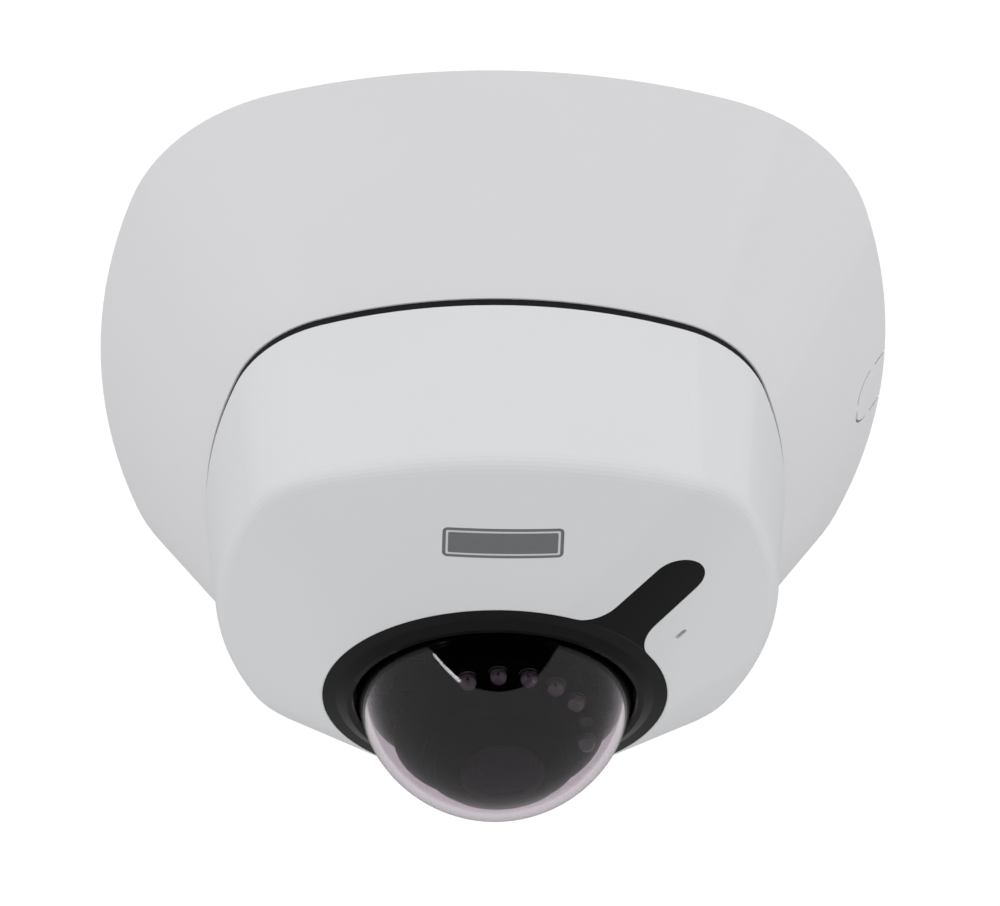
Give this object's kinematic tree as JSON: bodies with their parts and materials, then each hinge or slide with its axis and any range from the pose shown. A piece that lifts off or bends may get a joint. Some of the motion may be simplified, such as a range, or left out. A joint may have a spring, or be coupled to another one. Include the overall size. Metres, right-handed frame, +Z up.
{
  "type": "dome camera",
  "caption": "Ceiling dome camera on a tapered square installation box, with a clear bubble, a turning, tilting and rotating lens module and a lift-off cover.",
  "frame": {"origin": "centre of the face that lies against the ceiling", "axes": "+Z up into the ceiling, the camera hanging below; -Y the tall side of the camera, its face turned towards +Y"},
  "size_m": [0.1526, 0.1526, 0.0974],
  "materials": {
    "black_anodised": "anodised",
    "black_plastic": "fine texture",
    "black_rubber": "matt",
    "ceramic_white": "matt",
    "chip_plastic": "moulded epoxy",
    "circuit_board": "solder mask",
    "clear_epoxy": "moulded",
    "clear_polycarbonate": "polished",
    "coated_aluminium": "satin powder coat",
    "coated_glass": "coated",
    "galvanised_steel": "zinc plated",
    "gloss_black": "polished",
    "grey_foil": "satin",
    "spring_steel": "oiled",
    "tinned_steel": "satin",
    "white_plastic": "fine moulded texture"
  },
  "bodies": {
    "housing": {"box_shell": "coated_aluminium", "conduit_knockout": "coated_aluminium", "back_plate": "galvanised_steel", "box_screws": "galvanised_steel", "ceiling_seal": "black_rubber", "seat_gasket": "black_rubber", "camera_base": "coated_aluminium", "base_screws": "galvanised_steel", "cable_grommet": "black_rubber", "main_board": "circuit_board", "board_screws": "galvanised_steel", "processor_chip": "chip_plastic", "heat_sink": "black_anodised", "memory_chips": "chip_plastic", "card_socket": "tinned_steel", "ribbon_connector": "ceramic_white", "reset_switch": "chip_plastic", "antenna": "ceramic_white", "gimbal_bracket": "black_plastic", "gimbal_screws": "galvanised_steel"},
    "pan_table": {"pan_yoke": "black_plastic", "pan_circlip": "spring_steel"},
    "tilt_frame": {"tilt_carrier": "black_plastic", "tilt_screws": "spring_steel", "tilt_washers": "spring_steel"},
    "camera_module": {"module_housing": "black_plastic", "rotation_clip": "black_plastic", "sensor_board": "circuit_board", "image_sensor": "coated_glass", "lens_holder": "black_plastic", "lens_barrel": "black_anodised", "lens_elements": "coated_glass", "lens_bezel": "gloss_black", "lens_window": "coated_glass", "front_cowl": "black_plastic", "infrared_board": "chip_plastic", "infrared_leds": "clear_epoxy", "light_sensor": "clear_epoxy"},
    "cover": {"cover_shell": "white_plastic", "nameplate": "grey_foil", "bezel": "gloss_black", "dome_bubble": "clear_polycarbonate", "dome_seal": "black_rubber", "dome_clamp": "black_plastic", "clamp_screws": "galvanised_steel", "inner_skirt": "black_plastic", "cover_screws": "spring_steel", "microphone": "tinned_steel"},
    "card": {"memory_card": "chip_plastic"},
    "button": {"reset_button": "ceramic_white"}
  },
  "joints": [
    {"name": "cover_removal", "type": "slide", "parent": "housing", "child": "cover", "axis": [0, 0, -1], "range_m": [0, 0.07]},
    {"name": "pan", "type": "hinge", "parent": "housing", "child": "pan_table", "pos_m": [0, 0.01543, -0.07126], "axis": [0, -0.225, 0.9744], "range_deg": [-175, 165]},
    {"name": "tilt", "type": "hinge", "parent": "pan_table", "child": "tilt_frame", "pos_m": [0, 0.01543, -0.07126], "axis": [-0.9816, -0.1859, -0.0429], "range_deg": [-15, 47]},
    {"name": "rotate", "type": "hinge", "parent": "tilt_frame", "child": "camera_module", "pos_m": [0, 0.01543, -0.07126], "axis": [0.0494, -0.0303, -0.9983], "range_deg": [-177.5, 177.5]},
    {"name": "card_slide", "type": "slide", "parent": "housing", "child": "card", "axis": [-1, 0, 0], "range_m": [0, 0.013]},
    {"name": "button_press", "type": "slide", "parent": "housing", "child": "button", "axis": [0, 0, 1], "range_m": [0, 0.0005], "stiffness_N_per_m": 500}
  ]
}
